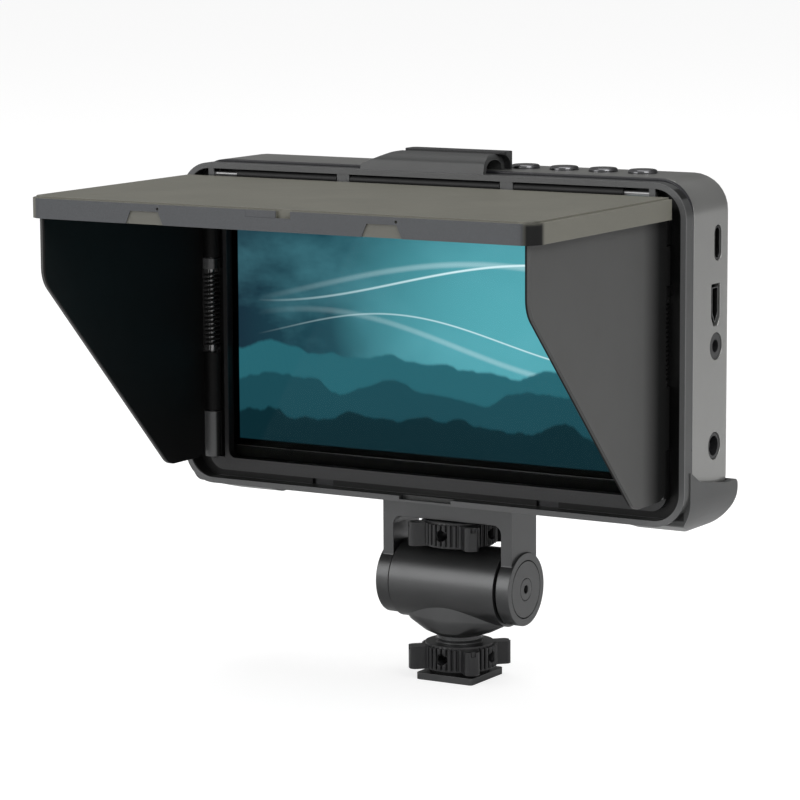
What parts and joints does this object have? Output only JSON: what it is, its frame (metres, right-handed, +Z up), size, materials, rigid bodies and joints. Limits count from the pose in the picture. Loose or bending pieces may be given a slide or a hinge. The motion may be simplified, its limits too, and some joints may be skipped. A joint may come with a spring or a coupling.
{
  "type": "camera field monitor with sun hood",
  "caption": "Camera-top field monitor on a tilting shoe mount, with a clip-on sun hood whose wings fold on sprung hinges under a lifting lid.",
  "frame": {"origin": "centre of the shoe foot's underside, on the vertical axis of the mount", "axes": "+X across the screen to the viewer's right, +Y from the viewer towards the back, +Z up"},
  "size_m": [0.1642, 0.1185, 0.1538],
  "materials": {
    "mount_metal": "satin black anodised aluminium",
    "steel": "bright steel",
    "knob_plastic": "satin black nylon",
    "black_rubber": "matte",
    "body_metal": "satin dark grey anodised",
    "black_plastic": "fine texture",
    "screen_glass": "polished",
    "display": "lit display",
    "white_plastic": "diffuser",
    "board": "solder mask",
    "cable_film": "polyimide film",
    "button_chrome": "dark chrome",
    "brass": "turned",
    "release_red": "satin",
    "screw_black": "black oxide",
    "hood_plastic": "satin, fine texture",
    "wing_plastic": "satin outside, flocked black inside",
    "spring_black": "black oxide"
  },
  "bodies": {
    "shoe": {"shoe_foot": "mount_metal", "lock_washer": "steel", "tilt_barrel": "mount_metal", "tilt_axle": "mount_metal", "friction_washers": "black_rubber"},
    "knob": {"lock_knob": "knob_plastic"},
    "fork": {"fork_bracket": "mount_metal", "end_cap_left": "mount_metal", "end_cap_right": "mount_metal", "fork_pad": "black_rubber"},
    "wheel": {"thumb_wheel": "knob_plastic", "tripod_screw": "steel"},
    "monitor": {"rear_shell": "body_metal", "front_bezel": "black_plastic", "cover_glass": "screen_glass", "lcd_panel": "display", "backlight": "white_plastic", "panel_tray": "steel", "main_board": "board", "display_cable": "cable_film", "button_board": "board", "usb_c_socket": "steel", "video_socket": "steel", "headphone_socket": "black_plastic", "power_socket": "black_plastic", "tripod_insert": "brass", "battery_plate": "black_plastic", "battery_contacts": "black_plastic", "shell_screws": "screw_black", "hood_frame": "hood_plastic", "clip_tab": "black_plastic", "lid_hinge_pin": "steel", "wing_pin_left": "steel", "wing_pin_right": "steel", "wing_spring_left": "spring_black", "wing_spring_right": "spring_black"},
    "lid": {"lid": "hood_plastic", "lid_latch": "hood_plastic"},
    "wing_left": {"wing_left": "wing_plastic"},
    "wing_right": {"wing_right": "wing_plastic"},
    "release": {"battery_release": "release_red"},
    "button_1": {"button_1": "button_chrome"},
    "button_2": {"button_2": "button_chrome"},
    "button_3": {"button_3": "button_chrome"},
    "button_4": {"button_4": "button_chrome"}
  },
  "joints": [
    {"name": "fork_tilt", "type": "hinge", "parent": "shoe", "child": "fork", "pos_m": [0, 0, 0.0279], "axis": [1, 0, 0], "range_deg": [-90, 90]},
    {"name": "monitor_pan", "type": "hinge", "parent": "fork", "child": "monitor", "pos_m": [0, 0, 0.0549], "axis": [0, 0, 1], "range_deg": [-90, 90]},
    {"name": "thumb_wheel_spin", "type": "hinge", "parent": "fork", "child": "wheel", "pos_m": [0, 0, 0.043], "axis": [0, 0, 1], "continuous": true},
    {"name": "lock_knob_spin", "type": "hinge", "parent": "shoe", "child": "knob", "pos_m": [0, 0, 0.006], "axis": [0, 0, 1], "range_deg": [0, 576]},
    {"name": "lid_lift", "type": "hinge", "parent": "monitor", "child": "lid", "pos_m": [0, -0.0182, 0.1449], "axis": [-1, 0, 0], "range_deg": [0, 20]},
    {"name": "wing_left_fold", "type": "hinge", "parent": "monitor", "child": "wing_left", "pos_m": [-0.0732, -0.01765, 0.1], "axis": [0, 0, 1], "range_deg": [0, 90], "stiffness_Nm_per_rad": 0.01, "springref_deg": -28.65},
    {"name": "wing_right_fold", "type": "hinge", "parent": "monitor", "child": "wing_right", "pos_m": [0.0732, -0.01765, 0.1], "axis": [0, 0, -1], "range_deg": [0, 87.5], "stiffness_Nm_per_rad": 0.01, "springref_deg": -28.65},
    {"name": "battery_release_slide", "type": "slide", "parent": "monitor", "child": "release", "axis": [0, 0, -1], "range_m": [0, 0.003], "stiffness_N_per_m": 150, "springref_m": -0.001},
    {"name": "button_1_press", "type": "slide", "parent": "monitor", "child": "button_1", "axis": [0, 0, -1], "range_m": [0, 0.0006], "stiffness_N_per_m": 800, "springref_m": -0.0006},
    {"name": "button_2_press", "type": "slide", "parent": "monitor", "child": "button_2", "axis": [0, 0, -1], "range_m": [0, 0.0006], "stiffness_N_per_m": 800, "springref_m": -0.0006},
    {"name": "button_3_press", "type": "slide", "parent": "monitor", "child": "button_3", "axis": [0, 0, -1], "range_m": [0, 0.0006], "stiffness_N_per_m": 800, "springref_m": -0.0006},
    {"name": "button_4_press", "type": "slide", "parent": "monitor", "child": "button_4", "axis": [0, 0, -1], "range_m": [0, 0.0006], "stiffness_N_per_m": 800, "springref_m": -0.0006}
  ]
}
